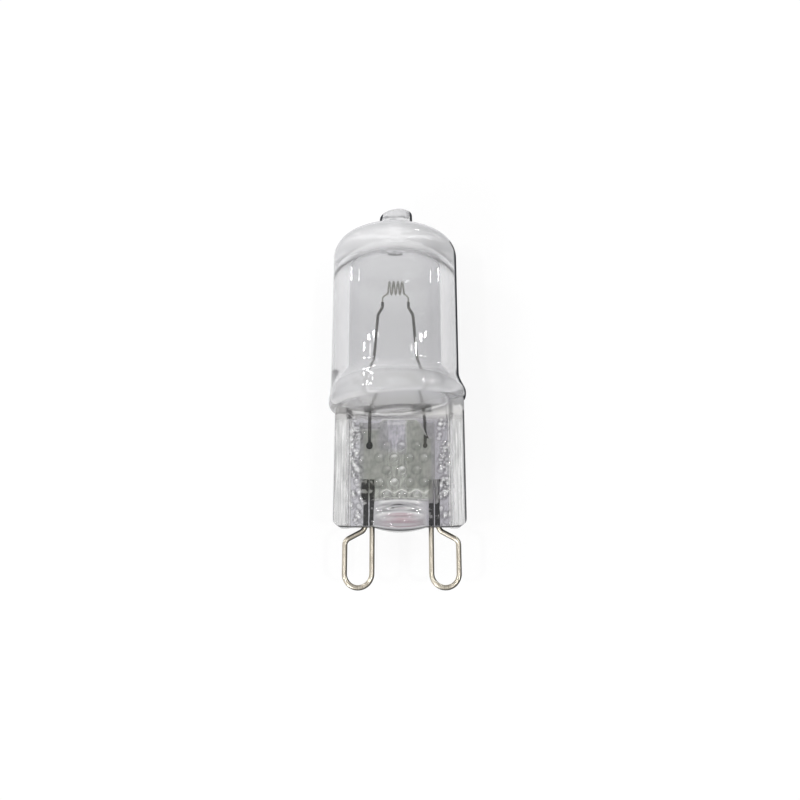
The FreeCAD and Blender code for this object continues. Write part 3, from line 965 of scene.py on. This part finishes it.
def floor_finish():
    """White paper. It shows near white to the camera, through glass and in gloss."""
    material = bpy.data.materials.new("white paper sweep")
    material.use_nodes = True
    tree = material.node_tree
    tree.nodes.clear()
    path = add_node(tree, "ShaderNodeLightPath").outputs
    seen = add_node(
        tree,
        "ShaderNodeMath",
        links={0: path["Is Camera Ray"], 1: path["Is Transmission Ray"]},
        operation="MAXIMUM",
    )
    seen = add_node(
        tree, "ShaderNodeMath", links={0: seen, 1: path["Is Glossy Ray"]}, operation="MAXIMUM"
    )
    share = add_node(tree, "ShaderNodeMath", {1: 0.82}, {0: seen}, operation="MULTIPLY")
    paper = add_node(tree, "ShaderNodeBsdfDiffuse", {"Color": linear("F2F2F2")})
    white = {"Color": linear("FFFFFF"), "Strength": 1.0}
    glow = add_node(tree, "ShaderNodeEmission", white)
    both = add_node(tree, "ShaderNodeMixShader", links={0: share, 1: paper, 2: glow})
    add_node(tree, "ShaderNodeOutputMaterial", links={"Surface": both})
    return material


sweep_half = 1.5
floor_mesh = bmesh.new()
bmesh.ops.create_grid(floor_mesh, x_segments=1, y_segments=1, size=sweep_half)
floor_piece = finished_piece("paper_sweep", floor_mesh, floor_finish())

# The room shows white to the camera, and lights the lamp mostly from the upper left
world = bpy.data.worlds.new("studio")
bpy.context.scene.world = world
world.use_nodes = True
sky = world.node_tree
toward = add_node(sky, "ShaderNodeTexCoord").outputs["Generated"]
lit_side = {1: (-0.7, 0.25, 0.65)}
lean = add_node(sky, "ShaderNodeVectorMath", lit_side, {0: toward}, operation="DOT_PRODUCT")
side_tone = add_node(
    sky,
    "ShaderNodeMapRange",
    {"From Min": -0.75, "From Max": 0.35},
    {"Value": lean.outputs["Value"]},
)
sky_tone = add_node(sky, "ShaderNodeValToRGB", links={"Fac": side_tone})
set_ramp(sky_tone, [(0.0, "3C3C3E"), (1.0, "FFFFFF")])
looked_at = add_node(sky, "ShaderNodeLightPath").outputs["Is Camera Ray"]
sky_colour = add_node(
    sky, "ShaderNodeMix", {7: linear("FFFFFF")}, {0: looked_at, 6: sky_tone}, data_type="RGBA"
).outputs[2]
level = add_node(
    sky, "ShaderNodeMath", {1: 0.3, 2: 0.7}, {0: looked_at}, operation="MULTIPLY_ADD"
)
fill_in(sky, sky.nodes["Background"], links={"Color": sky_colour, "Strength": level})


def softbox(name, place, aim, width, height, power):
    """A plain soft lamp at a place, facing a point, in millimetres of the scene."""
    light = bpy.data.lights.new(name, "AREA")
    light.shape = "RECTANGLE"
    light.size = width * 0.001
    light.size_y = height * 0.001
    light.energy = power
    lamp = bpy.data.objects.new(name, light)
    start = Vector(place) * 0.001
    lamp.location = start
    lamp.rotation_euler = (Vector(aim) * 0.001 - start).to_track_quat("-Z", "Y").to_euler()
    bpy.context.scene.collection.objects.link(lamp)


# One key lamp, and on each side small ones that show as the short glints on the tube
softbox("key", (-190, -260, 240), (0, 0, 5), 120, 120, 0.5)
for side, side_name in ((-1, "left"), (1, "right")):
    softbox("low_" + side_name, (side * 190, 95, 24), (0, 8, 10), 5, 10, 0.004)
    softbox("far_" + side_name, (side * 160, 270, 150), (0, 20, 5), 40, 8, 0.06)
    softbox("glint_" + side_name, (side * 90 - 10, -45, 235), (0, -10, 5), 8, 8, 0.08)
    for step in (-1, 0, 1):
        blob_place = (side * (190 + 30 * step), 95 + 3 * side * step, 190 - 30 * step)
        softbox("blob_" + side_name, blob_place, (0, 95 - 12 * side, 5), 3, 15, 0.016)
    for spark_y in (84, 79, 75):
        softbox(
            "spark_" + side_name, (side * 190, spark_y, 190), (0, spark_y, 5), 1.0, 80, 0.025
        )

camera = bpy.data.cameras.new("camera")
camera.sensor_width = 36
camera.lens = 32.11
camera.clip_start = 0.005
camera_object = bpy.data.objects.new("camera", camera)
bpy.context.scene.collection.objects.link(camera_object)
bpy.context.scene.camera = camera_object
off_square = math.radians(14.25)
camera_roll = math.radians(-0.08)
camera_reach = 78
aim_point = Vector((0.518, 0, 13.746))
toward_camera = Vector((0, -math.cos(off_square), -math.sin(off_square)))
camera_object.location = laid(aim_point + toward_camera * camera_reach)
camera_object.rotation_euler = (off_square - lamp_tilt, 0, camera_roll)
bpy.context.scene.view_settings.view_transform = "Standard"
